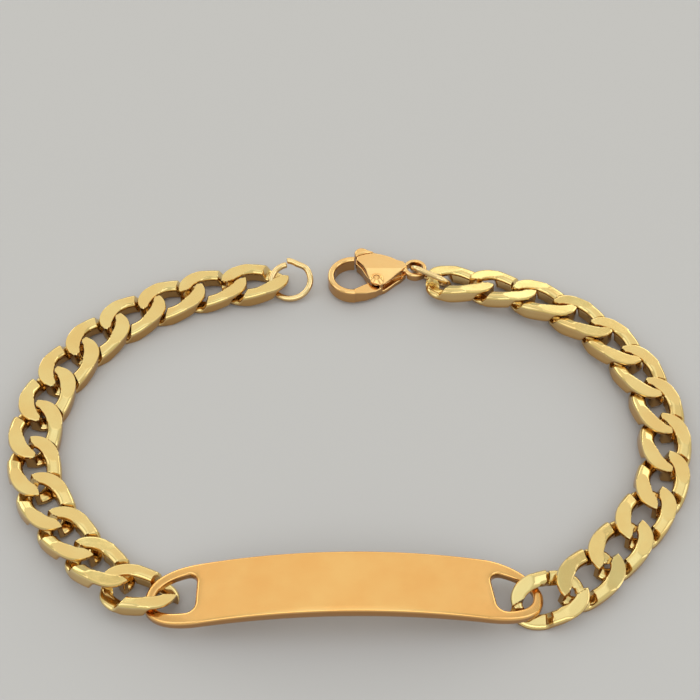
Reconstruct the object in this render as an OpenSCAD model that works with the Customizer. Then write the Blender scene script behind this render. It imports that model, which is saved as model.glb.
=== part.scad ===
// Identity bracelet lying flat: an arched plate, two lengths of filed curb chain,
// an open jump ring at one end and a sprung claw clasp at the other.
// X runs along the plate, Y from the plate to the clasp, Z up from the surface.

/* [Chain links] */
// Links in each of the two chain lengths
links = 13; // [13:1:13]
// Distance from one link's middle to the next
pitch = 5.5; // [5.45:0.01:5.55]
// Outer length of a link
link_l = 8.6; // [8.5:0.05:8.7]
// Outer width of a link
link_w = 6.2; // [6:0.05:6.3]
// Width of a link's wire, seen from above
wire_w = 1.4; // [1.35:0.05:1.4]
// Thickness of a link's wire before filing
wire_t = 1; // [0.95:0.05:1]
// How far a link's wire rises and dips over its neighbours
twist = 0.85; // [0.84:0.01:0.87]
// Height of the chain once both faces are filed flat
chain_h = 2.1; // [2:0.05:2.2]

/* [Plate] */
// Length of the plate from end to end, seen from above
plate_l = 43.4; // [43.3:0.1:43.5]
// Width of the plate
plate_w = 7.5; // [7.3:0.1:7.7]
// Thickness of the plate at its middle
plate_t = 1.3; // [1.25:0.05:1.4]
// Thickness of the plate at its end bars
bar_t = 0.9; // [0.85:0.05:0.95]
// Radius of the plate's arch, over its top face
plate_r = 60; // [58:1:64]
// Width of the bar at each end of the plate
bar_w = 1.05; // [1:0.05:1.1]
// Length of the slot beside the bar
slot_l = 5; // [4.9:0.1:5.1]
// Height of the plate's end bars over the surface
bar_z = 1.15; // [1.15:0.05:1.2]

/* [Clasp] */
// Outer radius of the clasp's hook
hook_r = 3.35; // [3.3:0.05:3.4]
// Width of the hook's wire, seen from above
hook_w = 0.85; // [0.8:0.05:0.9]
// Height of the hook
hook_h = 2.1; // [2:0.05:2.2]
// Thickness of the clasp's body
clasp_t = 2.6; // [2.6:0.05:2.7]
// Height of the slot that the lever swings in
lever_slot = 1.1; // [1.1:0.02:1.14]
// Thickness of the lever's blade
lever_t = 0.95; // [0.9:0.05:0.95]
// Radius of the lever's thumb knob
knob_r = 0.95; // [0.9:0.01:0.96]
// Radius of the rivet that the lever turns on
rivet_r = 0.35; // [0.3:0.05:0.35]
// Radial clearance of the rivet in its holes
rivet_gap = 0.03; // [0.02:0.01:0.05]
// Outer radius of the eyelet
eyelet_r = 1.55; // [1.5:0.05:1.55]
// Radius of the eyelet's hole
eyelet_hole_r = 0.95; // [0.9:0.05:0.95]

/* [Rings] */
// Outer diameter of the open jump ring
jump_ring_d = 5.9; // [5.8:0.1:6]
// Wire radius of the open jump ring
jump_wire_r = 0.4; // [0.38:0.01:0.42]
// Outer length of the clasp's oval ring
oval_l = 6; // [5.9:0.1:6.1]
// Outer width of the clasp's oval ring
oval_w = 3.7; // [3.6:0.1:3.8]
// Wire radius of the clasp's oval ring
oval_wire_r = 0.36; // [0.34:0.01:0.38]

/* [Hidden] */
$fn = 48;

function two(i) = i < 10 ? str("0", i) : str(i);
function left_name(i) = str("link_left_", two(i));
function right_name(i) = str("link_right_", two(i));

gold = [0.90, 0.77, 0.47];
rose_gold = [0.92, 0.72, 0.42];

// Where the bracelet's middle lies against the plan that the places below are measured in
middle = [-0.08, -11.945];

// The links next to the plate hang on its bar and lead down to the surface:
// [along, across, height of the middle, heading, lean, slope], starting at the plate
left_lead = [
    [-22.97, -35.52, 1.85, 167.1, 12.4, 0.7],
    [-27.57, -32.42, 1.86, 137.9, 17.9, -5.9],
    [-31.42, -28.34, 1.40, 132.0, 12.0, -4.0],
    [-34.73, -23.83, 1.34, 120.2, 8.6, -1.7]
];
right_lead = [
    [21.59, -36.42, 1.87, 17.6, 19.7, 1.1],
    [26.23, -33.65, 1.70, 40.1, 16.4, -2.8],
    [30.05, -29.63, 1.43, 48.5, 10.2, -1.4],
    [33.46, -25.34, 1.32, 56.3, 6.7, -0.7]
];

// The rest of the chain rests on the surface. Each row of a bend table is a stretch of chain:
// [links, turn from one link to the next in degrees]
left_start = [-36.76, -18.86];
left_heading = 96.5;
left_bends = [[2, 13.9], [3, 12.8], [2, 9.85]];
right_start = [36.02, -20.73];
right_heading = 101.8;
right_bends = [[2, 13.5], [3, 13.4], [2, 12.1]];
// Each link leans on its outer edge by an angle that changes evenly: [first link, last link]
left_lean = [9, -4];
right_lean = [6, 15.5];

function turns(bends) = [for (b = bends) for (k = [1:b[0]]) b[1]];
function sum_to(v, n) = n <= 0 ? 0 : v[n - 1] + sum_to(v, n - 1);
function headings(start, bends) =
    let (t = turns(bends)) [for (i = [0:len(t)]) start - sum_to(t, i)];
function walk(h, n) = n <= 0 ? [0, 0] : pitch * [cos(h[n - 1]), sin(h[n - 1])] + walk(h, n - 1);
function link_heading(h, n) =
    n == 0 ? (3 * h[0] - h[1]) / 2 : n >= len(h) ? h[len(h) - 1] : (h[n - 1] + h[n]) / 2;

// A ring of wire is a sweep: a section of points at each station round a closed course
function quad(a, b, c, d) = [[a, b, c], [a, c, d]];
function tube_faces(stations, sides) = [
    for (i = [0:stations - 1]) for (j = [0:sides - 1])
        let (n = (i + 1) % stations, k = (j + 1) % sides)
            each quad(i * sides + j, i * sides + k, n * sides + k, n * sides + j)
];
function clamp(z, limit) = min(max(z, -limit), limit);

// A link's course is between an oval and a stadium, rising and dipping twice each way round
link_stations = 16;
roundness = 0.86;
rail_a = (link_l - wire_w) / 2;
rail_b = (link_w - wire_w) / 2;
function power(v, e) = sign(v) * pow(abs(v), e);
function rail_x(t) = rail_a * power(cos(t), roundness);
function rail_y(t) = rail_b * power(sin(t), roundness);
function rail_z(t) = -twist * sin(2 * t);
function rail_normal(t) =
    let (n = [rail_b * power(cos(t), 2 - roundness), rail_a * power(sin(t), 2 - roundness)]) n / norm(n);

// The wire's section: [share of half the width, share of half the thickness]
wire_section = [[1, 0], [0.66, 1], [-0.66, 1], [-1, 0], [-0.66, -1], [0.66, -1]];

link_points = [
    for (i = [0:link_stations - 1]) for (s = wire_section)
        let (
            t = 360 * i / link_stations + 180 / link_stations,
            out = rail_normal(t) * s[0] * wire_w / 2,
            z = clamp(rail_z(t) + s[1] * wire_t / 2, chain_h / 2)
        )
        [rail_x(t) + out[0], rail_y(t) + out[1], z]
];
// Height of a leaning link's middle when its lowest edge touches the surface
function rest_height(lean) = -min([for (p = link_points) p[1] * sin(lean) + p[2] * cos(lean)]);

module chain_link() {
    polyhedron(link_points, tube_faces(link_stations, len(wire_section)));
}

module placed_link(x, y, z, heading, lean, slope) {
    color(gold)
        translate([x - middle[0], y - middle[1], z])
            rotate([0, 0, heading])
                rotate([0, -slope, 0])
                    rotate([lean, 0, 0])
                        chain_link();
}

module lead_link(row) {
    placed_link(row[0], row[1], row[2], row[3], row[4], row[5]);
}

// A mirrored course bends the other way
module resting_link(start, h, leans, mirrored, n) {
    at = walk(h, n);
    a = link_heading(h, n);
    x = start[0] + (mirrored ? -at[0] : at[0]);
    lean = leans[0] + (leans[1] - leans[0]) * n / len(h);
    placed_link(x, start[1] + at[1], rest_height(lean), mirrored ? 180 - a : a, lean, 0);
}

module link_left(i) {
    leads = len(left_lead);
    if (i <= leads)
        lead_link(left_lead[i - 1]);
    else
        resting_link(left_start, headings(left_heading, left_bends), left_lean, false, i - leads - 1);
}

module link_right(i) {
    leads = len(right_lead);
    if (i <= leads)
        lead_link(right_lead[i - 1]);
    else
        resting_link(right_start, headings(right_heading, right_bends), right_lean, true, i - leads - 1);
}

// The plate: an arched strip with rounded ends, and a slot and a bar at each end
plate_at = [-0.65, -36.6];
plate_yaw = 0.9;
end_l = 6.4;
end_power = 2.2;
end_steps = 12;
slot_corner = 1;

function end_curve(l, w, inset) = [
    for (k = [0:end_steps])
        let (t = 90 - 180 * k / end_steps)
            [
                l - end_l + (end_l - inset) * power(cos(t), 2 / end_power),
                (w - inset) * power(sin(t), 2 / end_power)
            ]
];

module plate_outline() {
    half = end_curve(plate_l / 2, plate_w / 2, 0);
    polygon(concat(half, [for (p = half) -p]));
}

module slot_outline() {
    inner = plate_l / 2 - bar_w - slot_l;
    half = plate_w / 2 - bar_w;
    intersection() {
        polygon(end_curve(plate_l / 2, plate_w / 2, bar_w));
        union() {
            translate([inner + slot_corner, -plate_w]) square([slot_l, 2 * plate_w]);
            translate([inner, slot_corner - half]) square([2 * slot_corner, 2 * (half - slot_corner)]);
            for (s = [-1, 1])
                translate([inner + slot_corner, s * (half - slot_corner)]) circle(slot_corner);
        }
    }
}

module plate() {
    bar_at = (plate_l - bar_w) / 2;
    rise = plate_r - sqrt(pow(plate_r, 2) - pow(bar_at, 2));
    under_rise = rise - (plate_t - bar_t);
    under_r = (pow(bar_at, 2) + pow(under_rise, 2)) / (2 * under_rise);
    color(rose_gold)
        translate([plate_at[0] - middle[0], plate_at[1] - middle[1], bar_z + bar_t + rise - plate_r])
            rotate([0, 0, plate_yaw])
                difference() {
                    intersection() {
                        rotate([90, 0, 0])
                            difference() {
                                cylinder(h = 2 * plate_w, r = plate_r, center = true, $fn = 180);
                                translate([0, plate_r - plate_t - under_r, 0])
                                    cylinder(h = 3 * plate_w, r = under_r, center = true, $fn = 180);
                            }
                        translate([0, 0, plate_r / 2])
                            linear_extrude(plate_r) plate_outline();
                    }
                    for (side = [0, 180])
                        rotate([0, 0, side])
                            translate([0, 0, plate_r / 2])
                                linear_extrude(plate_r) slot_outline();
                }
}

// The clasp's own frame has its origin at the middle of the hook, and X towards the eyelet
clasp_at = [0.47, 11.9];
pivot = [2.95, -0.7];
swing_r = 4.5;
tip_angle = 88;
hub_r = 0.72;
swing_gap = 0.12;
eyelet_at = [7.98, 1.35];
eyelet_h = 1.2;
eyelet_z = 1.05;
knob_at = [1.05, 3.85];
knob_h = 2.4;
base_z = (clasp_t - hook_h) / 2;

// The cheeks' edge from the lever's swing round by the eyelet to the lower tip: [along, across]
cheek_edge = [
    [3.8, 3.5], [4.95, 2.98], [5.7, 2.47], [6.5, 2.15], [6.9, 1.4], [6.2, 0.5], [5.56, 0],
    [4.95, -0.6], [4.05, -1.4], [3.45, -1.7], [2.47, -1.5], [2.17, -1.19], [1.65, 0.4],
    [1.2, 1.49], [0.42, 2.47]
];
// The arm that joins the hook to the cheeks: [along, across]
arm_edge = [[1.6, -2.95], [2.9, -2.35], [3.75, -1.6], [3, -0.6], [2, -0.95], [0.2, -2.35]];
// The space between the cheeks that the lever swings in: [along, across]
swing_edge = [
    [0.22, 4.5], [4.55, 4.5], [4.5, 3], [4.1, 0.4], [3.85, -0.4], [2.95, -1.3], [2.1, -0.9],
    [1.45, 0.2], [0.22, 2.3]
];
// The groove along the cheeks' lower edge: [along, across]
groove_edge = [[3.9, -1.7], [6.3, 0.3], [5.9, 0.85], [5.2, 0.7], [4.1, -0.3]];
// The lever's blade, front edge first: [along, across]
blade_edge = [
    [2.25, -0.85], [1.5, 0.45], [1, 1.5], [0.27, 2.45], [0.27, 3.5], [1.05, 4], [2, 3.85],
    [2.35, 2.5], [3.1, 0.8], [3.6, -0.5]
];

function arc(r, from, to, steps) = [
    for (k = [0:steps]) let (t = from + (to - from) * k / steps) r * [cos(t), sin(t)]
];

module in_clasp_frame() {
    translate([clasp_at[0] - middle[0], clasp_at[1] - middle[1], 0]) children();
}

module rivet_hole() {
    translate([pivot[0], pivot[1], -1]) cylinder(h = clasp_t + 2, r = rivet_r + rivet_gap);
}

module hook_outline() {
    polygon(concat(arc(hook_r, tip_angle, 270, 28), arm_edge, arc(hook_r - hook_w, 266, tip_angle, 28)));
}

module clasp_body() {
    cheek_front = [for (p = arc(swing_r, 124, 93, 8)) pivot + p];
    color(gold)
        in_clasp_frame()
            difference() {
                union() {
                    linear_extrude(clasp_t) polygon(concat(cheek_front, cheek_edge));
                    translate([0, 0, base_z]) linear_extrude(hook_h) hook_outline();
                    translate([eyelet_at[0], eyelet_at[1], eyelet_z])
                        cylinder(h = eyelet_h, r = eyelet_r);
                }
                translate([0, 0, (clasp_t - lever_slot) / 2])
                    linear_extrude(lever_slot) {
                        polygon(swing_edge);
                        polygon(groove_edge);
                        translate(pivot) circle(hub_r + 2 * swing_gap);
                    }
                translate([eyelet_at[0], eyelet_at[1], -1])
                    cylinder(h = clasp_t + 2, r = eyelet_hole_r);
                rivet_hole();
            }
}

module clasp_lever() {
    color(gold)
        in_clasp_frame()
            difference() {
                union() {
                    translate([0, 0, (clasp_t - lever_t) / 2])
                        linear_extrude(lever_t) {
                            polygon(blade_edge);
                            translate(pivot) circle(hub_r);
                        }
                    translate([0, 0, (clasp_t - knob_h) / 2])
                        linear_extrude(knob_h)
                            difference() {
                                translate(knob_at) circle(knob_r);
                                translate(pivot) circle(swing_r + swing_gap, $fn = 180);
                            }
                }
                rivet_hole();
            }
}

module clasp_rivet() {
    color(gold)
        in_clasp_frame()
            translate([pivot[0], pivot[1], 0.05]) cylinder(h = clasp_t - 0.1, r = rivet_r);
}

// The rings: a round one, cut open, through the last link of the left chain,
// and an oval one from the clasp's eyelet through the last link of the right chain
ring_stations = 16;
ring_sides = 6;
jump_ring_at = [-7.75, 11.62, 1.42];
jump_ring_lean = 20;
jump_ring_cut = 101;
jump_ring_gap = 10;
jump_ring_step = 0.45;
oval_at = [10.48, 12.08, 1.66];
oval_turn = -31;
oval_lean = 30;

module jump_ring() {
    mid_r = jump_ring_d / 2 - jump_wire_r;
    points = [
        for (i = [0:ring_stations]) for (j = [0:ring_sides - 1])
            let (
                share = i / ring_stations,
                t = jump_ring_cut + jump_ring_gap / 2 + (360 - jump_ring_gap) * share,
                s = 360 * j / ring_sides,
                r = mid_r + jump_wire_r * cos(s)
            )
            [r * cos(t), r * sin(t), jump_wire_r * sin(s) + jump_ring_step * (share - 0.5)]
    ];
    last = ring_stations * ring_sides;
    sides = [
        for (i = [0:ring_stations - 1]) for (j = [0:ring_sides - 1])
            let (k = (j + 1) % ring_sides, n = (i + 1) * ring_sides)
                each quad(i * ring_sides + j, i * ring_sides + k, n + k, n + j)
    ];
    ends = [
        for (j = [1:ring_sides - 2]) each [[0, j + 1, j], [last, last + j, last + j + 1]]
    ];
    color(gold)
        translate([jump_ring_at[0] - middle[0], jump_ring_at[1] - middle[1], jump_ring_at[2]])
            rotate([jump_ring_lean, 0, 0])
                polyhedron(points, concat(sides, ends));
}

module clasp_ring() {
    end_r = oval_w / 2 - oval_wire_r;
    straight = (oval_l - oval_w) / 2;
    points = [
        for (i = [0:ring_stations - 1]) for (j = [0:ring_sides - 1])
            let (
                t = 360 * (i + 0.5) / ring_stations,
                s = 360 * j / ring_sides,
                r = end_r + oval_wire_r * cos(s)
            )
            [r * cos(t) + straight * sign(cos(t)), r * sin(t), oval_wire_r * sin(s)]
    ];
    color(gold)
        translate([oval_at[0] - middle[0], oval_at[1] - middle[1], oval_at[2]])
            rotate([0, 0, oval_turn])
                rotate([90 + oval_lean, 0, 0])
                    polyhedron(points, tube_faces(ring_stations, ring_sides));
}

for (i = [1:links]) link_left(i);
for (i = [1:links]) link_right(i);
plate();
clasp_body();
clasp_lever();
clasp_rivet();
clasp_ring();
jump_ring();
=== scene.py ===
"""Looks of the identity bracelet: polished gold plating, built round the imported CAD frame."""

import math

import bpy
import numpy as np
import openvdb
from mathutils import Euler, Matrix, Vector
from mathutils.geometry import delaunay_2d_cdt


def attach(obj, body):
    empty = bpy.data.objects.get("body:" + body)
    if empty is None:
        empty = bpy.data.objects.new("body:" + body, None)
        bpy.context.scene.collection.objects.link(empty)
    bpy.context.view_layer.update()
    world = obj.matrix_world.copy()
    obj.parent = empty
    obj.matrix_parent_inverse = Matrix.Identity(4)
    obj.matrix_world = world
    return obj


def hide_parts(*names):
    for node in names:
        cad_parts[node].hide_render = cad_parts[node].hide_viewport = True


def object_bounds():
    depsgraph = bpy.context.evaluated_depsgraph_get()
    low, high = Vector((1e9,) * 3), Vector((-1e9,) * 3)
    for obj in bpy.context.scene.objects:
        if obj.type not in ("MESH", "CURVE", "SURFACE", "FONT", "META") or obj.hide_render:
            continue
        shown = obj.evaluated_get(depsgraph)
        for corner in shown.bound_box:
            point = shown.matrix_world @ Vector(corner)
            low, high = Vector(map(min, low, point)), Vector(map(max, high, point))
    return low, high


MM = 0.001

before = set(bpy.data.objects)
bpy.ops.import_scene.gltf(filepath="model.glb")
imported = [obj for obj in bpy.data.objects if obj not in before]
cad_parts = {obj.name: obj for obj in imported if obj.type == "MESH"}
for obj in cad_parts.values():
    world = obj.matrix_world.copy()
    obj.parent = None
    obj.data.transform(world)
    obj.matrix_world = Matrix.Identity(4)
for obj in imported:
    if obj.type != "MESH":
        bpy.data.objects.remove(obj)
cad_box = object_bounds()
scene = bpy.context.scene


# Camera, at the photograph's place and angle above the surface

SENSOR_W = 36
LENS = 77.14
CLIP = (0.001, 20)
CAMERA_AT = (0.00008, -0.110755, 0.14271)
# Degrees up from looking straight down
CAMERA_TILT = 40.9

camera_data = bpy.data.cameras.new("camera")
camera_data.sensor_width = SENSOR_W
camera_data.lens = LENS
camera_data.clip_start, camera_data.clip_end = CLIP
camera = bpy.data.objects.new("camera", camera_data)
camera.location = CAMERA_AT
camera.rotation_euler = (math.radians(CAMERA_TILT), 0, 0)
scene.collection.objects.link(camera)
scene.camera = camera


# Materials

# The gold's noises, as (scale, detail, roughness): slow drifts of colour, cloudy gloss, a faint
# ripple, and hairline scratches, which are stretched and turned
DRIFT = (230, 3, 0.55)
CLOUDS = (1300, 4, 0.6)
RIPPLE = (520, 1.5, 0.4)
HAIRS = (1, 2, 0.7)
HAIR_SCALE = (900, 26000, 26000)
HAIR_TURN = (0.2, 0.1, 0.6)
# Places on the drift's noise where the pale and the deep colour are full
DRIFT_STOPS = (0.34, 0.66)
# Upward part of the normal where the painted side shade is full, and where it ends: upright faces
# take a darker colour that stands in for the dark surroundings they would mirror
SIDE_SHADE_NORMALS = (0.1, 0.5)
# Roughness in the clearest and cloudiest places, as shares of the polish, and what a scratch adds
CLOUD_STOPS = (0.3, 0.7)
CLOUDY_SHARES = (0.8, 1.35)
SCRATCH_STOPS = (0.62, 0.8)
SCRATCH_ROUGHNESS = 0.1
# Bump strengths, and depths in metres
RIPPLE_STRENGTH, RIPPLE_DEPTH = 0.35, 0.00003
HAIR_STRENGTH, HAIR_DEPTH = 0.12, 0.000004


class NodeTree:
    """A material's or world's nodes, added by type with their inputs set or linked by name."""

    def __init__(self, tree):
        self.tree = tree
        tree.nodes.clear()

    def add(self, kind, inputs=None, **settings):
        node = self.tree.nodes.new("ShaderNode" + kind)
        for key, value in settings.items():
            setattr(node, key, value)
        for key, value in (inputs or {}).items():
            socket = node.inputs[key]
            if isinstance(value, bpy.types.NodeSocket):
                self.tree.links.new(value, socket)
            else:
                socket.default_value = value
        return node

    def ramp(self, factor, stops):
        """A colour ramp over factor, from a list of (place, colour)."""
        node = self.add("ValToRGB", {"Fac": factor})
        elements = node.color_ramp.elements
        while len(elements) < len(stops):
            elements.new(0.5)
        for element, (place, colour) in zip(elements, stops):
            element.position = place
            element.color = (*colour, 1)
        return node.outputs["Color"]

    def noise(self, place, scale, detail, roughness):
        """Grey value of a noise over place."""
        node = self.add(
            "TexNoise", {"Vector": place, "Scale": scale, "Detail": detail, "Roughness": roughness}
        )
        return node.outputs["Fac"]

    def spread(self, value, low, high, to_low, to_high):
        """value carried from one range to another and held inside it."""
        inputs = {"Value": value, "From Min": low, "From Max": high}
        inputs.update({"To Min": to_low, "To Max": to_high})
        return self.add("MapRange", inputs).outputs["Result"]


def gold(name, pale, deep, side, polish):
    """Polished gold plating, from its pale, deep and painted side-shade colours and its roughness.

    It drifts slowly between pale and deep, and takes the darker side colour on upright faces as
    painted shade, standing in for the dark surroundings they would mirror. It has cloudy gloss,
    hairline scratches and a faint ripple.
    """
    material = bpy.data.materials.new(name)
    material.use_nodes = True
    nodes = NodeTree(material.node_tree)
    place = nodes.add("TexCoord").outputs["Object"]
    drift = nodes.noise(place, *DRIFT)
    clouds = nodes.noise(place, *CLOUDS)
    ripple = nodes.noise(place, *RIPPLE)
    turned = nodes.add("Mapping", {"Vector": place, "Rotation": HAIR_TURN, "Scale": HAIR_SCALE})
    hairs = nodes.noise(turned.outputs["Vector"], *HAIRS)
    normal = nodes.add("NewGeometry").outputs["Normal"]
    upright = nodes.add("SeparateXYZ", {"Vector": normal}).outputs["Z"]
    # Painted shade: upright faces get the darker side colour in place of mirrored dark
    # surroundings
    colour = nodes.add(
        "MixRGB",
        {
            "Fac": nodes.spread(upright, *SIDE_SHADE_NORMALS, 1, 0),
            "Color1": nodes.ramp(drift, list(zip(DRIFT_STOPS, (pale, deep)))),
            "Color2": (*side, 1),
        },
    ).outputs["Color"]
    clearest, cloudiest = (polish * share for share in CLOUDY_SHARES)
    cloudy = nodes.spread(clouds, *CLOUD_STOPS, clearest, cloudiest)
    scratched = nodes.spread(hairs, *SCRATCH_STOPS, 0, SCRATCH_ROUGHNESS)
    roughness = nodes.add("Math", {0: cloudy, 1: scratched}, operation="ADD").outputs[0]
    waves = nodes.add(
        "Bump", {"Height": ripple, "Strength": RIPPLE_STRENGTH, "Distance": RIPPLE_DEPTH}
    ).outputs["Normal"]
    scratches = {"Height": hairs, "Strength": HAIR_STRENGTH, "Distance": HAIR_DEPTH}
    normal = nodes.add("Bump", {**scratches, "Normal": waves}).outputs["Normal"]
    shader = nodes.add(
        "BsdfPrincipled",
        {"Base Color": colour, "Metallic": 1.0, "Roughness": roughness, "Normal": normal},
    )
    nodes.add("OutputMaterial", {"Surface": shader.outputs["BSDF"]})
    return material


# The fourth colour of each is painted shade for upright faces, standing in for mirrored dark
# surroundings
chain_gold = gold("chain_gold", (0.86, 0.685, 0.345), (0.84, 0.61, 0.28), (0.56, 0.33, 0.12), 0.13)
plate_gold = gold("plate_gold", (0.93, 0.56, 0.235), (0.91, 0.51, 0.20), (0.52, 0.27, 0.1), 0.16)
clasp_gold = gold("clasp_gold", (0.96, 0.65, 0.33), (0.94, 0.58, 0.265), (0.56, 0.31, 0.12), 0.15)
ring_gold = gold("ring_gold", (0.95, 0.73, 0.43), (0.93, 0.67, 0.36), (0.66, 0.42, 0.18), 0.14)


# Pieces


def add_piece(name, points, faces, material, nodes, body="bracelet", crease=30):
    """A piece of the object, from points in millimetres in the frame, standing for CAD nodes.

    Its points are held inside the CAD model's box. That flattens the lowest corners of tilted
    links by up to 0.14 mm, the plate's near edge by 0.1 mm, and a link's outer edge at each side
    of the box by up to 0.08 mm.
    """
    mesh = bpy.data.meshes.new(name)
    mesh.from_pydata(np.clip(np.asarray(points) * MM, *cad_box).tolist(), [], faces)
    mesh.update()
    mesh.shade_smooth()
    mesh.set_sharp_from_angle(angle=math.radians(crease))
    mesh.materials.append(material)
    piece = bpy.data.objects.new(name, mesh)
    scene.collection.objects.link(piece)
    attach(piece, body)
    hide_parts(*nodes)


def tube_faces(stations, sides, closed=True):
    """Quads of a tube whose points run side by side round each station."""
    faces = []
    for i in range(stations if closed else stations - 1):
        n = (i + 1) % stations
        for j in range(sides):
            k = (j + 1) % sides
            faces.append((i * sides + j, n * sides + j, n * sides + k, i * sides + k))
    return faces


# Chain links: a pressed bar round an oval, raised over two opposite quarters and lowered over
# the other two, and filed flat above and below

LINKS = 13
LINK_L = 8.8
LINK_W = 6.2
CHAIN_H = 2.1
ROUNDNESS = 0.86
# Rounding of the bar's own edges, and softening where the filed flats cut them
BAR_EDGE_R = 0.6
FILED_EDGE = 0.05
# Sections round the link, and points on a section's corners, its top and its sides
LINK_STATIONS = 150
CORNER_POINTS = 7
TOP_POINTS = 9
SIDE_POINTS = 4
# How much closer together the stations are at the ends and long sides, in radians
CROWDING = 0.05
# The worn bevel ahead of each slope: how far ahead it starts, and its fall for its run
BEVEL_LEAD = 1.2
BEVEL_FALL = 0.22
# Run of the drop at the end of a raised bar
DROP_LEN = 0.3
# The links where the chain bends most, counted from the plate
TIGHT_LINKS = (2, 3, 4, 5, 12)


class LinkForm:
    """Sizes of one kind of link, in millimetres."""

    # Width of the bar at the ends and at the long sides, and roundness of the hole between them
    end_w, side_w, hole_roundness = 1.56, 1.75, 1.25
    # Top of a raised and of a lowered bar before it is filed
    high, low = 1.3, -0.3
    # The raised bar drops this far past the link's end line, at its inner and outer edge, and this
    # much further between them
    drop_inner, drop_outer, drop_bulge = -0.4, 0.3, 0.45
    # Along the long side it slopes down between these two places past the link's middle
    slope_inner, slope_outer = (0.8, 1.4), (1.3, 2.8)


class TightLinkForm(LinkForm):
    """A link where the chain bends most, cut back to clear its neighbours."""

    hole_roundness = 1.1
    drop_inner, drop_outer, drop_bulge = -0.3, 0.1, 0.1
    slope_inner, slope_outer = (0.6, 1.2), (0.9, 2.3)


class LeftBarLinkForm(LinkForm):
    """The slimmer first link at the left, threaded through the plate's slot."""

    end_w, side_w, hole_roundness = 1.4, 1.7, 0.95
    high, low = 1.2, -0.4
    drop_inner, drop_outer, drop_bulge = -0.6, -0.2, 0
    slope_inner, slope_outer = (0.6, 1.2), (0.9, 2.3)


class RightBarLinkForm(LeftBarLinkForm):
    """The first link at the right, cut back further to clear the plate's bar."""

    slope_inner, slope_outer = (-0.2, 0.8), (0.2, 1.4)


class RingLinkForm(LinkForm):
    """The last link at each side, which a ring passes through."""

    drop_inner, drop_outer, drop_bulge = -0.5, -0.45, 0.25


def power(value, exponent):
    return np.sign(value) * np.abs(value) ** exponent


def smooth_step(value):
    value = np.clip(value, 0, 1)
    return value * value * (3 - 2 * value)


def bar_top(form, x, y, outward):
    """Height of the bar's top over a place in plan.

    outward runs from -1 on the bar's inner edge to 1 on its outer edge.
    """
    raised = x * y < 0
    past_middle = np.where(raised, -np.abs(x), np.abs(x))
    past_end = np.where(raised, -np.abs(y), np.abs(y))
    share = (outward + 1) / 2
    fall = form.low - form.high
    drop = form.drop_inner + (form.drop_outer - form.drop_inner) * share
    drop += form.drop_bulge * (1 - outward**2)
    end = form.high + fall * smooth_step((past_end - drop) / DROP_LEN)
    start, stop = (a + (b - a) * share for a, b in zip(form.slope_inner, form.slope_outer))
    long_side = form.high + fall * smooth_step((past_middle - start) / (stop - start))
    bevel = CHAIN_H / 2 - BEVEL_FALL * (past_middle - start + BEVEL_LEAD)
    long_side = np.minimum(long_side, np.maximum(bevel, form.low))
    return np.where(raised, np.minimum(end, long_side), np.maximum(end, long_side))


def filed(height):
    """A height held between the two filed faces, with a softened edge."""
    over = np.abs(height) - CHAIN_H / 2
    near = -((FILED_EDGE - over) ** 2) / (4 * FILED_EDGE)
    held = np.where(over > FILED_EDGE, 0, np.where(over < -FILED_EDGE, over, near))
    return np.sign(height) * (CHAIN_H / 2 + held)


def bar_section():
    """The lines along the bar: each one's side and height, and its place on a round corner."""
    corners = [(1, 1), (-1, 1), (-1, -1), (1, -1)]
    lines = []
    for turn, (side, up) in enumerate(corners):
        next_side, next_up = corners[(turn + 1) % 4]
        for angle in np.radians(90 * turn + np.linspace(0, 90, CORNER_POINTS)):
            lines.append((side, up, math.cos(angle), math.sin(angle)))
        steps = TOP_POINTS if turn % 2 == 0 else SIDE_POINTS
        for share in np.linspace(0, 1, steps)[1:-1]:
            along_side, along_up = side + (next_side - side) * share, up + (next_up - up) * share
            lines.append((along_side, along_up, math.cos(angle), math.sin(angle)))
    return lines


def oval(length, width, roundness, t):
    """Points of an oval in plan."""
    across, along = power(np.sin(t), roundness), power(np.cos(t), roundness)
    return np.column_stack([length / 2 * along, width / 2 * across])


def link_mesh(form):
    """Points and faces of a link about its own middle."""
    t = 2 * math.pi * (np.arange(LINK_STATIONS) + 0.5) / LINK_STATIONS
    t -= CROWDING * np.sin(4 * t)
    outer = oval(LINK_L, LINK_W, ROUNDNESS, t)
    inner = oval(LINK_L - 2 * form.end_w, LINK_W - 2 * form.side_w, form.hole_roundness, t)
    middle, reach = (outer + inner) / 2, (outer - inner) / 2
    edge_share = BAR_EDGE_R / np.linalg.norm(reach, axis=1)
    lines = []
    for side, up, corner_across, corner_up in bar_section():
        outward = side + (corner_across - side) * edge_share
        x, y = (middle + outward[:, None] * reach).T
        top, under = bar_top(form, x, y, outward), -bar_top(form, x, -y, outward)
        half_t = (top - under) / 2
        edge_r = np.minimum(BAR_EDGE_R, half_t)
        height = (top + under) / 2 + up * (half_t - edge_r) + corner_up * edge_r
        lines.append(np.column_stack([x, y, filed(height)]))
    return np.stack(lines, 1).reshape(-1, 3), tube_faces(LINK_STATIONS, len(lines))


def node_place(node):
    """Middle and axes of a link's CAD solid.

    The axes' signs don't matter, as half turns about them leave a link the same.
    """
    corners = np.array([tuple(v.co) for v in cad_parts[node].data.vertices]) / MM
    corners = np.unique(np.round(corners, 4), axis=0)
    middle = corners.mean(0)
    _, axes = np.linalg.eigh(np.cov((corners - middle).T))
    along, across = axes[:, 2], axes[:, 1]
    return middle, np.stack([along, across, np.cross(along, across)], 1)


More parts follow.
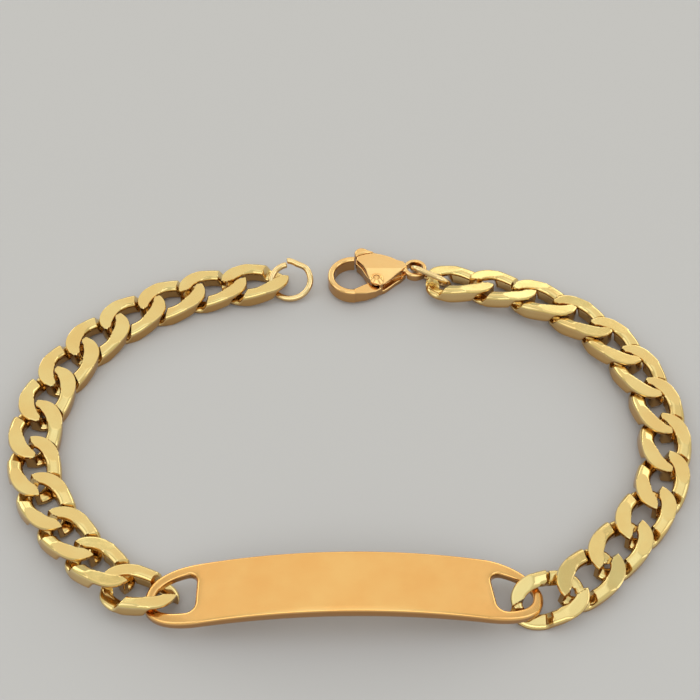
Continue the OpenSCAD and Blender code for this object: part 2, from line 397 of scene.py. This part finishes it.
links = dict.fromkeys(range(1, LINKS + 1), link_mesh(LinkForm))
links.update(dict.fromkeys(TIGHT_LINKS, link_mesh(TightLinkForm)))
links[LINKS] = link_mesh(RingLinkForm)
for side, bar_form in (("left", LeftBarLinkForm), ("right", RightBarLinkForm)):
    links[1] = link_mesh(bar_form)
    for number, (link_points, link_faces) in links.items():
        node = f"link_{side}_{number:02d}"
        middle, axes = node_place(node)
        link_points = link_points @ axes.T + middle
        add_piece(f"{node}_metal", link_points, link_faces, chain_gold, [node])


# Plate: an arched strip with softened edges and a slot at each end

PLATE_AT = (-0.57, -24.655)
PLATE_YAW = math.radians(0.9)
PLATE_L = 43.4
PLATE_W = 7.5
PLATE_T = 1.3
PLATE_R = 60
BAR_T = 0.9
BAR_W = 1.15
BAR_Z = 1.15
SLOT_CORNER = 1
# Each slot's length along its first and its last side, and the share of its half width that the
# first side gives up, so that the bar beside it is wider
RIGHT_SLOT = (4.6, 4.2)
LEFT_SLOT = (4.6, 4.65)
SLOT_NARROWING = 0.15
END_L = 6.4
# How blunt the plate's ends are, on one side and on the other
RIGHT_POWERS = (1.85, 2.2)
LEFT_POWERS = (2.2, 2.5)
# Softening of the upper and lower edges: [inset, drop]
UPPER_EDGE = [(0.34, 0), (0.2, 0.02), (0.1, 0.08), (0.03, 0.18), (0, 0.32)]
LOWER_EDGE = [(0, 0.2), (0.03, 0.1), (0.1, 0.03), (0.2, 0)]
# Points on the curves that the outline and the slots are drawn from
END_STEPS = 96
BOW_STEPS = 64
CORNER_STEPS = 12
# Distances between points on the outline, on the slots and inside the faces
OUTLINE_STEP = 0.35
SLOT_STEP = 0.2
GRID_STEP = 0.7
GRID_ROWS = 11
GRID_CLEAR = 0.3
# Distances below which two points are taken as one, on a loop and in a face
SAME_LOOP_POINT = 1e-9
SAME_FACE_POINT = 1e-6


def end_curve(powers, inset, steps):
    """The plate's rounded end, from its far side round to its near side."""
    t = np.radians(90 - 180 * np.arange(steps + 1) / steps)
    exponent = 2 / np.where(t > 0, *powers)
    return np.column_stack(
        [
            PLATE_L / 2 - END_L + (END_L - inset) * np.abs(np.cos(t)) ** exponent,
            (PLATE_W / 2 - inset) * power(np.sin(t), exponent),
        ]
    )


def even_loop(points, step):
    """A closed loop of points walked round at even steps."""
    loop = np.vstack([points, points[:1]])
    gone = np.concatenate([[0], np.cumsum(np.linalg.norm(np.diff(loop, axis=0), axis=1))])
    keep = np.concatenate([[True], np.diff(gone) > SAME_LOOP_POINT])
    loop, gone = loop[keep], gone[keep]
    at = np.linspace(0, gone[-1], max(8, round(gone[-1] / step)), endpoint=False)
    return np.column_stack([np.interp(at, gone, loop[:, i]) for i in (0, 1)])


def loop_normals(loop):
    """Outward direction at each point of a loop that runs clockwise."""
    ahead = np.roll(loop, -1, 0) - np.roll(loop, 1, 0)
    out = np.column_stack([-ahead[:, 1], ahead[:, 0]])
    return out / np.linalg.norm(out, axis=1, keepdims=True)


def slot_loop(powers, lengths):
    """The slot at the plate's right end, clockwise."""
    first_x, last_x = (PLATE_L / 2 - BAR_W - length + SLOT_CORNER for length in lengths)
    half = PLATE_W / 2 - BAR_W
    bow = end_curve(powers, BAR_W, BOW_STEPS)
    bow[:, 1] *= 1 - SLOT_NARROWING * np.clip(bow[:, 1] / half, 0, 1) ** 2
    bow = bow[bow[:, 0] > np.where(bow[:, 1] > 0, first_x, last_x)]
    turn = np.radians(np.linspace(0, 90, CORNER_STEPS))
    last = np.column_stack([-np.sin(turn), -np.cos(turn)]) * SLOT_CORNER
    first = np.column_stack([-np.cos(turn), np.sin(turn)]) * SLOT_CORNER
    last += (last_x, bow[-1, 1] + SLOT_CORNER)
    first += (first_x, bow[0, 1] - SLOT_CORNER)
    return np.vstack([bow, last, first])


def plate_heights(along):
    """Heights of the plate's top and underside."""
    bar_at = (PLATE_L - BAR_W) / 2
    rise = PLATE_R - math.sqrt(PLATE_R**2 - bar_at**2)
    under_rise = rise - (PLATE_T - BAR_T)
    under_r = (bar_at**2 + under_rise**2) / (2 * under_rise)
    crown = BAR_Z + BAR_T + rise
    top = crown - PLATE_R + np.sqrt(PLATE_R**2 - along**2)
    under = crown - PLATE_T - under_r + np.sqrt(under_r**2 - along**2)
    return top, under


def plate_mesh():
    """Points and faces of the plate."""
    ends = [end_curve(RIGHT_POWERS, 0, END_STEPS), -end_curve(LEFT_POWERS, 0, END_STEPS)]
    loops = [
        (even_loop(np.vstack(ends), OUTLINE_STEP), 1),
        (even_loop(slot_loop(RIGHT_POWERS, RIGHT_SLOT), SLOT_STEP), -1),
        (-even_loop(slot_loop(LEFT_POWERS, LEFT_SLOT), SLOT_STEP), -1),
    ]
    points, faces, rims = [], [], []
    for loop, sign in loops:
        out = loop_normals(loop) * sign
        count = len(loop)
        rings = []
        for inset, drop in UPPER_EDGE:
            flat = loop - out * inset
            rings.append(np.column_stack([flat, plate_heights(flat[:, 0])[0] - drop]))
        for inset, lift in LOWER_EDGE:
            flat = loop - out * inset
            rings.append(np.column_stack([flat, plate_heights(flat[:, 0])[1] + lift]))
        first = len(points)
        for ring in rings:
            points.extend(ring)
        for i in range(len(rings) - 1):
            for j in range(count):
                k = (j + 1) % count
                a, b = first + i * count, first + (i + 1) * count
                quad = (a + j, a + k, b + k, b + j)
                faces.append(quad if sign > 0 else quad[::-1])
        rims.append((first, first + (len(rings) - 1) * count, count))
    for top in (True, False):
        faces += plate_face(points, rims, top)
    at = np.array(points)
    cos, sin = math.cos(PLATE_YAW), math.sin(PLATE_YAW)
    at[:, :2] = at[:, :2] @ np.array([[cos, sin], [-sin, cos]]) + PLATE_AT
    return at, faces


def plate_face(points, rims, top):
    """Triangles over the plate's top or underside, with points added inside it."""
    rim_points, loops, original = [], [], []
    for first, last, count in rims:
        start = first if top else last
        loops.append(list(range(len(rim_points), len(rim_points) + count)))
        rim_points += [Vector(points[start + j][:2]) for j in range(count)]
        original += list(range(start, start + count))
    edges = [(loop[j], loop[(j + 1) % len(loop)]) for loop in loops for j in range(len(loop))]
    grid = [
        Vector((x, y))
        for x in np.arange(-PLATE_L / 2, PLATE_L / 2, GRID_STEP)
        for y in np.linspace(-PLATE_W / 2, PLATE_W / 2, GRID_ROWS)
        if min((p - Vector((x, y))).length for p in rim_points) > GRID_CLEAR
    ]
    verts, _, triangles, origin, _, _ = delaunay_2d_cdt(
        rim_points + grid, edges, [], 0, SAME_FACE_POINT, True
    )
    index = {}
    outer = [np.array(p) for p in rim_points[: len(loops[0])]]
    holes = [[np.array(rim_points[i]) for i in loop] for loop in loops[1:]]
    for i, place in enumerate(verts):
        known = [o for o in origin[i] if o < len(original)]
        if known:
            index[i] = original[known[0]]
        else:
            index[i] = len(points)
            height = plate_heights(np.array(place.x))[0 if top else 1]
            points.append(np.array([place.x, place.y, float(height)]))
    faces = []
    for triangle in triangles:
        middle = sum((np.array(verts[i]) for i in triangle), np.zeros(2)) / 3
        if not inside(middle, outer) or any(inside(middle, hole) for hole in holes):
            continue
        a, b, c = (np.array(verts[i]) for i in triangle)
        turn = (b[0] - a[0]) * (c[1] - a[1]) - (b[1] - a[1]) * (c[0] - a[0])
        corners = tuple(index[i] for i in triangle)
        faces.append(corners if (turn > 0) == top else corners[::-1])
    return faces


def inside(point, loop):
    """Whether a point lies inside a loop."""
    loop = np.asarray(loop)
    ahead = np.roll(loop, -1, 0)
    spans = (loop[:, 1] > point[1]) != (ahead[:, 1] > point[1])
    rise = np.where(spans, ahead[:, 1] - loop[:, 1], 1)
    cross = loop[:, 0] + (point[1] - loop[:, 1]) / rise * (ahead[:, 0] - loop[:, 0])
    return bool(np.sum(spans & (cross > point[0])) % 2)


plate_points, plate_faces = plate_mesh()
add_piece("plate_metal", plate_points, plate_faces, plate_gold, ["plate"])


# Rings of round wire

RING_SIDES = 20
# Angle between faces, in degrees, above which an edge stays sharp
WIRE_CREASE = 50
CAST_CREASE = 60


def wire_ring(course, radius):
    """Points and faces of a ring of round wire on a flat course of points and normals."""
    turn = 2 * math.pi * np.arange(RING_SIDES) / RING_SIDES
    points = []
    for middle, out in course:
        for a in turn:
            points.append(
                [
                    middle[0] + radius * math.cos(a) * out[0],
                    middle[1] + radius * math.cos(a) * out[1],
                    middle[2] + radius * math.sin(a),
                ]
            )
    return np.array(points), tube_faces(len(course), RING_SIDES)


def placed(points, rotation, at):
    """Points turned by an XYZ rotation in degrees and moved."""
    turn = np.array(Euler([math.radians(a) for a in rotation], "XYZ").to_matrix())
    return points @ turn.T + np.array(at)


JUMP_D = 5.9
JUMP_WIRE_R = 0.4
JUMP_AT = (-7.67, 23.565, 1.42)
JUMP_LEAN = 20
# Where the ring is cut and how wide the cut is, in degrees
JUMP_CUT = 101
JUMP_GAP = 1
# How far the ring's ends stand apart, across the ring and outwards
JUMP_STEP = 0.8
JUMP_SPREAD = 0.2
# The last share of the ring before its upper end is bent nearly straight, by this much
JUMP_FLAT = 0.19
JUMP_FLAT_DEPTH = 0.26
# Rounding of the wire's ends: [share of the ring, share of the wire's radius]
JUMP_END = [(0, 0), (0, 0.55), (0.002, 0.78), (0.005, 0.93), (0.009, 0.99)]
JUMP_END_STEP = 0.003
JUMP_STATIONS = 96


def jump_ring_mesh():
    """The cut ring, one turn of a slack coil with softened ends."""
    points = []
    inner_end = JUMP_END[-1][0] + JUMP_END_STEP
    shares = np.linspace(inner_end, 1 - inner_end, JUMP_STATIONS)
    stations = JUMP_END + [(s, 1) for s in shares] + [(1 - s, r) for s, r in reversed(JUMP_END)]
    for share, size in stations:
        t = math.radians(JUMP_CUT + JUMP_GAP / 2 + (360 - JUMP_GAP) * share)
        lift = JUMP_STEP * (share - 0.5)
        mid_r = JUMP_D / 2 - JUMP_WIRE_R + JUMP_SPREAD * (share - 0.5)
        along_flat = np.clip((share - 1 + JUMP_FLAT) / JUMP_FLAT, 0, 1)
        mid_r -= JUMP_FLAT_DEPTH * math.sin(math.pi * along_flat) ** 2
        for j in range(RING_SIDES):
            s = 2 * math.pi * j / RING_SIDES
            r = mid_r + JUMP_WIRE_R * size * math.cos(s)
            z = JUMP_WIRE_R * size * math.sin(s) + lift
            points.append([r * math.cos(t), r * math.sin(t), z])
    return np.array(points), tube_faces(len(stations), RING_SIDES, False)


jump_points, jump_faces = jump_ring_mesh()
add_piece(
    "jump_ring_metal",
    placed(jump_points, (JUMP_LEAN, 0, 0), JUMP_AT),
    [f[::-1] for f in jump_faces],
    ring_gold,
    ["jump_ring"],
    crease=WIRE_CREASE,
)

OVAL_L = 6
OVAL_W = 3.7
OVAL_WIRE_R = 0.36
OVAL_AT = (10.56, 24.025, 1.66)
OVAL_TURN = -31
OVAL_LEAN = 30
# Sections round each of its two half circles
OVAL_STATIONS = 33


def oval_ring_mesh():
    """The closed oval ring: two half circles joined by straight lengths."""
    end_r = OVAL_W / 2 - OVAL_WIRE_R
    straight = (OVAL_L - OVAL_W) / 2
    course = []
    for middle, start in ((straight, -90), (-straight, 90)):
        for t in np.radians(start + np.linspace(0, 180, OVAL_STATIONS)):
            out = (math.cos(t), math.sin(t))
            course.append(((middle + end_r * out[0], end_r * out[1], 0), out))
    return wire_ring(course, OVAL_WIRE_R)


oval_points, oval_faces = oval_ring_mesh()
oval_points = placed(oval_points, (90 + OVAL_LEAN, 0, 0), (0, 0, 0))
add_piece(
    "clasp_ring_metal",
    placed(oval_points, (0, 0, OVAL_TURN), OVAL_AT),
    [f[::-1] for f in oval_faces],
    ring_gold,
    ["clasp_ring"],
    crease=WIRE_CREASE,
)


# Clasp: castings worked out as distance fields, so that their joins and edges are softened

CLASP_AT = (0.55, 23.845)
PIVOT = np.array([2.95, -0.7])
HOOK_R = 3.35
HOOK_W = 0.85
HOOK_H = 2.1
TIP_ANGLE = 88
HOOK_END = 274
ARM_DROP = 0.1
ARM_FALL = 0.22
# The upper cheek's ridge, its fall to the near and the far side, and the boss round the rivet
RIDGE_Y = 0.9
NEAR_FALL = 0.22
FAR_FALL = 0.07
BOSS_R = 0.5
BOSS_RISE = 0.02
BOSS_FALL = 0.9
CLASP_T = 2.6
LEVER_SLOT = 1.1
LEVER_T = 0.95
SWING_R = 4.5
SWING_GAP = 0.12
HUB_R = 0.72
EYELET_AT = np.array([7.98, 1.35])
EYELET_R = 1.55
EYELET_HOLE_R = 0.95
EYELET_H = 1.2
EYELET_Z = 1.05
KNOB_AT = np.array([1.05, 3.85])
KNOB_R = 0.95
KNOB_H = 2.4
RIVET_R = 0.35
RIVET_GAP = 0.03
# The cheeks' rim beside the knob, an arc about the pivot from one angle to another
CHEEK_ARC = (124, 93)
CHEEK_ARC_STEPS = 10
# Outlines in the clasp's own frame: [along, across]
CHEEK_EDGE = [
    (3.8, 3.5), (4.95, 2.98), (5.7, 2.47), (6.5, 2.15), (6.9, 1.4), (6.2, 0.5), (5.56, 0),
    (4.95, -0.6), (4.05, -1.4), (3.45, -1.7), (2.47, -1.5), (2.17, -1.19), (1.65, 0.4),
    (1.2, 1.49), (0.42, 2.47),
]
SWING_EDGE = [
    (0.22, 4.5), (4.55, 4.5), (4.5, 3), (4.1, 0.4), (3.85, -0.4), (2.95, -1.3), (2.1, -0.9),
    (1.45, 0.2), (0.22, 2.3),
]
GROOVE_EDGE = [(3.5, -2.3), (5.4, -0.9), (7.2, 0.6), (6.3, 1.15), (5.2, 0.7), (4.1, -0.3)]
ARM_EDGE = [
    (-0.17, -2.49), (-0.1, -3.3), (1.6, -2.95), (2.9, -2.35), (3.75, -1.6), (3, -0.6), (2, -0.95),
    (0.2, -2.35),
]
BLADE_EDGE = [
    (2.25, -0.85), (1.5, 0.45), (1, 1.5), (0.27, 2.45), (0.27, 3.5), (1.05, 4), (2, 3.85),
    (2.35, 2.5), (3.1, 0.8), (3.6, -0.5),
]
SHOULDER_EDGE = [(1.5, 4.6), (2.7, 4.05), (2.4, 3.8), (1.2, 3.7)]
# Rounding of the castings' own edges
CHEEK_SOFT = 0.22
HOOK_SOFT = 0.38
ARM_SOFT = 0.3
EYELET_SOFT = 0.3
BLADE_SOFT = 0.08
KNOB_SOFT = 0.4
SLOT_SOFT = 0.02
# Fillets where one shape joins another
BOSS_FILLET = 0.12
ARM_FILLET = 0.08
EYELET_FILLET = 0.35
HOOK_FILLET = 0.06
SHOULDER_FILLET = 0.2
KNOB_FILLET = 0.15
# Softening of the edges that a cut leaves
ARM_TOP_EDGE = 0.15
EYELET_EDGE = 0.25
SLOT_EDGE = 0.2
SWING_CUT_EDGE = 0.08
EYELET_HOLE_EDGE = 0.2
RIVET_HOLE_EDGE = 0.04
# Side of a cell, and the boxes of cells that hold the body and the lever
CELL = 0.07
BODY_BOX = ((-3.7, -3.8, -0.3), (10, 5.2, 2.9))
LEVER_BOX = ((-0.6, -2, -0.1), (4.4, 5.3, 2.8))


def arc(centre, r, start, end, steps):
    t = np.radians(np.linspace(start, end, steps + 1))
    return np.asarray(centre) + r * np.column_stack([np.cos(t), np.sin(t)])


class Field:
    """A grid of cells over a box in millimetres, and distances from shapes measured on it."""

    def __init__(self, low, high):
        self.low = np.array(low, float)
        axes = [np.arange(a, b, CELL) for a, b in zip(low, high)]
        self.x, self.y, self.z = np.meshgrid(*axes, indexing="ij")
        self.flat_x, self.flat_y = self.x[:, :, 0], self.y[:, :, 0]

    def polygon(self, corners):
        """Distance in plan from a closed outline, negative inside it."""
        corners = np.asarray(corners, float)
        nearest = np.full(self.flat_x.shape, np.inf)
        odd = np.zeros(self.flat_x.shape, bool)
        for a, b in zip(corners, np.roll(corners, -1, 0)):
            edge = b - a
            px, py = self.flat_x - a[0], self.flat_y - a[1]
            share = np.clip((px * edge[0] + py * edge[1]) / (edge @ edge), 0, 1)
            nearest = np.minimum(nearest, np.hypot(px - share * edge[0], py - share * edge[1]))
            spans = (a[1] > self.flat_y) != (b[1] > self.flat_y)
            rise = edge[1] if edge[1] else 1
            odd ^= spans & (self.flat_x < a[0] + (self.flat_y - a[1]) * edge[0] / rise)
        return np.where(odd, -nearest, nearest)[:, :, None]

    def circle(self, centre, r):
        return (np.hypot(self.flat_x - centre[0], self.flat_y - centre[1]) - r)[:, :, None]

    def slab(self, plan, low, high, soft):
        """A plan distance made solid between two heights, its edges rounded by soft."""
        rise = np.abs(self.z - (low + high) / 2) - (high - low) / 2
        a, b = plan + soft, rise + soft
        outside = np.hypot(np.maximum(a, 0), np.maximum(b, 0))
        return np.minimum(np.maximum(a, b), 0) + outside - soft

    def mesh(self, distance):
        grid = openvdb.FloatGrid(1.0)
        grid.copyFromArray(np.clip(distance, -1, 1).astype(np.float32))
        points, quads = grid.convertToQuads(0.0)
        return points * CELL + self.low, [tuple(int(i) for i in q) for q in quads]


def joined(a, b, fillet):
    """Two distances joined with a fillet between them."""
    blend = np.clip(0.5 + 0.5 * (b - a) / fillet, 0, 1)
    return b * (1 - blend) + a * blend - fillet * blend * (1 - blend)


def cut_by(a, b, soft):
    """Distance a with shape b cut out of it and the cut's edge softened."""
    return -joined(-a, b, soft)


def clasp_body_mesh():
    """The cast body: hook, arm, two domed cheeks and the eyelet."""
    field = Field(*BODY_BOX)
    rim = arc(PIVOT, SWING_R, *CHEEK_ARC, CHEEK_ARC_STEPS)
    cheek_plan = field.polygon(np.vstack([rim, CHEEK_EDGE]))
    cheeks = field.slab(cheek_plan, 0, CLASP_T, CHEEK_SOFT)
    from_ridge = field.y - RIDGE_Y
    roof = np.where(from_ridge < 0, -NEAR_FALL * from_ridge, FAR_FALL * from_ridge)
    from_boss = np.hypot(field.x - PIVOT[0], field.y - PIVOT[1])
    boss = np.maximum(BOSS_RISE + BOSS_FALL * (from_boss - BOSS_R), BOSS_RISE)
    cheeks = np.maximum(cheeks, field.z - CLASP_T + joined(roof, boss, BOSS_FILLET))
    base = (CLASP_T - HOOK_H) / 2
    mid_r = HOOK_R - HOOK_W / 2
    from_hook = np.abs(np.hypot(field.flat_x, field.flat_y) - mid_r) - HOOK_W / 2
    angle = np.degrees(np.arctan2(field.flat_y, field.flat_x)) % 360
    away = np.where(angle < TIP_ANGLE, np.radians(TIP_ANGLE - angle) * mid_r, -1)
    away = np.where(angle > HOOK_END, np.radians(angle - HOOK_END) * mid_r, away)
    hook_plan = np.maximum(from_hook, away)[:, :, None]
    hook = field.slab(hook_plan, base, base + HOOK_H, HOOK_SOFT)
    arm = field.slab(field.polygon(ARM_EDGE), base, base + HOOK_H, ARM_SOFT)
    arm_top = base + HOOK_H - ARM_DROP - ARM_FALL * np.maximum(field.x, 0)
    arm = cut_by(arm, arm_top - field.z, ARM_TOP_EDGE)
    hook = joined(hook, arm, ARM_FILLET)
    eyelet_plan = field.circle(EYELET_AT, EYELET_R)
    eyelet_hole = field.circle(EYELET_AT, EYELET_HOLE_R)
    eyelet = field.slab(eyelet_plan, EYELET_Z, EYELET_Z + EYELET_H, EYELET_SOFT)
    eyelet = cut_by(eyelet, eyelet_hole, EYELET_EDGE)
    body = joined(cheeks, eyelet, EYELET_FILLET)
    swing = np.minimum(field.polygon(SWING_EDGE), field.circle(PIVOT, HUB_R + 2 * SWING_GAP))
    slot = np.minimum(swing, field.polygon(GROOVE_EDGE))
    low = (CLASP_T - LEVER_SLOT) / 2
    body = cut_by(body, field.slab(slot, low, low + LEVER_SLOT, SLOT_SOFT), SLOT_EDGE)
    body = joined(body, hook, HOOK_FILLET)
    body = cut_by(body, field.slab(swing, low, low + LEVER_SLOT, SLOT_SOFT), SWING_CUT_EDGE)
    body = cut_by(body, eyelet_hole, EYELET_HOLE_EDGE)
    body = cut_by(body, field.circle(PIVOT, RIVET_R + RIVET_GAP), RIVET_HOLE_EDGE)
    return field.mesh(body)


def clasp_lever_mesh():
    """The sprung lever: a thin blade with a rounded thumb knob."""
    field = Field(*LEVER_BOX)
    low = (CLASP_T - LEVER_T) / 2
    plan = np.minimum(field.polygon(BLADE_EDGE), field.circle(PIVOT, HUB_R))
    blade = field.slab(plan, low, low + LEVER_T, BLADE_SOFT)
    low = (CLASP_T - KNOB_H) / 2
    shoulder = field.polygon(SHOULDER_EDGE)
    knob_plan = joined(field.circle(KNOB_AT, KNOB_R), shoulder, SHOULDER_FILLET)
    knob_plan = np.maximum(knob_plan, -field.circle(PIVOT, SWING_R + SWING_GAP))
    knob = field.slab(knob_plan, low, low + KNOB_H, KNOB_SOFT)
    lever = joined(blade, knob, KNOB_FILLET)
    lever = cut_by(lever, field.circle(PIVOT, RIVET_R + RIVET_GAP), RIVET_HOLE_EDGE)
    return field.mesh(lever)


def in_clasp_place(points):
    return points + np.array([*CLASP_AT, 0])


body_points, body_faces = clasp_body_mesh()
add_piece(
    "clasp_body_metal", in_clasp_place(body_points), body_faces, clasp_gold,
    ["clasp_body"], crease=CAST_CREASE,
)
lever_points, lever_faces = clasp_lever_mesh()
add_piece(
    "clasp_lever_metal", in_clasp_place(lever_points), lever_faces, clasp_gold,
    ["clasp_lever"], body="clasp_lever", crease=CAST_CREASE,
)

RIVET_SIDES = 40
# The rivet from its lower head to its upper one: [radius, height]
RIVET_PROFILE = [
    (0, 0.0), (0.15, 0.012), (0.26, 0.04), (0.33, 0.1), (0.35, 0.18),
    (0.35, 2.42), (0.33, 2.5), (0.26, 2.56), (0.15, 2.588), (0, 2.6),
]


def rivet_mesh():
    """A turned pin with low domed heads."""
    turn = 2 * math.pi * np.arange(RIVET_SIDES) / RIVET_SIDES
    points = [
        [r * math.cos(a), r * math.sin(a), z] for r, z in RIVET_PROFILE for a in turn
    ]
    points = np.array(points) + np.array([*PIVOT, 0])
    return points, [f[::-1] for f in tube_faces(len(RIVET_PROFILE), RIVET_SIDES, False)]


rivet_points, rivet_faces = rivet_mesh()
add_piece(
    "clasp_rivet_metal", in_clasp_place(rivet_points), rivet_faces, clasp_gold,
    ["clasp_rivet"], crease=WIRE_CREASE,
)


# Floor and light

FLOOR_CORNERS = [(-2, -2, 0), (2, -2, 0), (2, 2, 0), (-2, 2, 0)]
FLOOR_COLOUR = (0.54, 0.535, 0.635)
FLOOR_ROUGHNESS = 0.75
# The surroundings' colour: [upward part of the direction, colour]
DOME = [
    (0.0, (0.85, 0.83, 0.62)),
    (0.15, (0.92, 0.91, 0.66)),
    (0.35, (1.0, 1.02, 0.74)),
    (0.6, (1.0, 0.97, 0.76)),
    (0.87, (1.0, 1.01, 0.78)),
    (0.95, (1.45, 1.52, 1.3)),
    (1.0, (1.6, 1.7, 1.5)),
]
DOME_STRENGTH = 0.68

floor_mesh = bpy.data.meshes.new("floor")
floor_mesh.from_pydata(FLOOR_CORNERS, [], [(0, 1, 2, 3)])
floor = bpy.data.objects.new("floor", floor_mesh)
scene.collection.objects.link(floor)
floor_material = bpy.data.materials.new("floor_card")
floor_material.use_nodes = True
floor_nodes = NodeTree(floor_material.node_tree)
card = floor_nodes.add(
    "BsdfPrincipled", {"Base Color": (*FLOOR_COLOUR, 1), "Roughness": FLOOR_ROUGHNESS}
)
floor_nodes.add("OutputMaterial", {"Surface": card.outputs["BSDF"]})
floor_mesh.materials.append(floor_material)

world = bpy.data.worlds.new("studio")
world.use_nodes = True
sky = NodeTree(world.node_tree)
toward = sky.add("TexCoord").outputs["Generated"]
up = sky.add("SeparateXYZ", {"Vector": toward}).outputs["Z"]
background = sky.add("Background", {"Color": sky.ramp(up, DOME), "Strength": DOME_STRENGTH})
sky.add("OutputWorld", {"Surface": background.outputs["Background"]})
scene.world = world


def softbox(name, at, size, energy, colour):
    """A rectangular light that faces the object, of a power in watts."""
    light = bpy.data.lights.new(name, "AREA")
    light.shape = "RECTANGLE"
    light.size, light.size_y = size
    light.energy = energy
    light.color = colour
    lamp = bpy.data.objects.new(name, light)
    lamp.location = at
    lamp.rotation_euler = (-Vector(at)).to_track_quat("-Z", "Y").to_euler()
    scene.collection.objects.link(lamp)


softbox("back_softbox", (0, 0.4, 0.46), (0.9, 0.5), 0.35, (1, 0.86, 0.66))
softbox("low_strip", (0, 0.6, 0.2), (1.2, 0.08), 0.35, (1, 0.97, 0.82))
softbox("low_left", (-0.45, 0.45, 0.24), (0.4, 0.16), 0.25, (1, 0.97, 0.8))
softbox("low_right", (0.45, 0.45, 0.24), (0.4, 0.16), 0.25, (1, 0.97, 0.8))
softbox("front_softbox", (0, -0.45, 0.42), (0.7, 0.25), 0.6, (1, 0.98, 0.85))
softbox("left_softbox", (-0.6, -0.1, 0.45), (0.4, 0.5), 0.4, (1, 1, 0.95))
softbox("right_softbox", (0.6, -0.05, 0.4), (0.3, 0.5), 0.35, (1, 1, 0.95))

scene.view_settings.view_transform = "Standard"
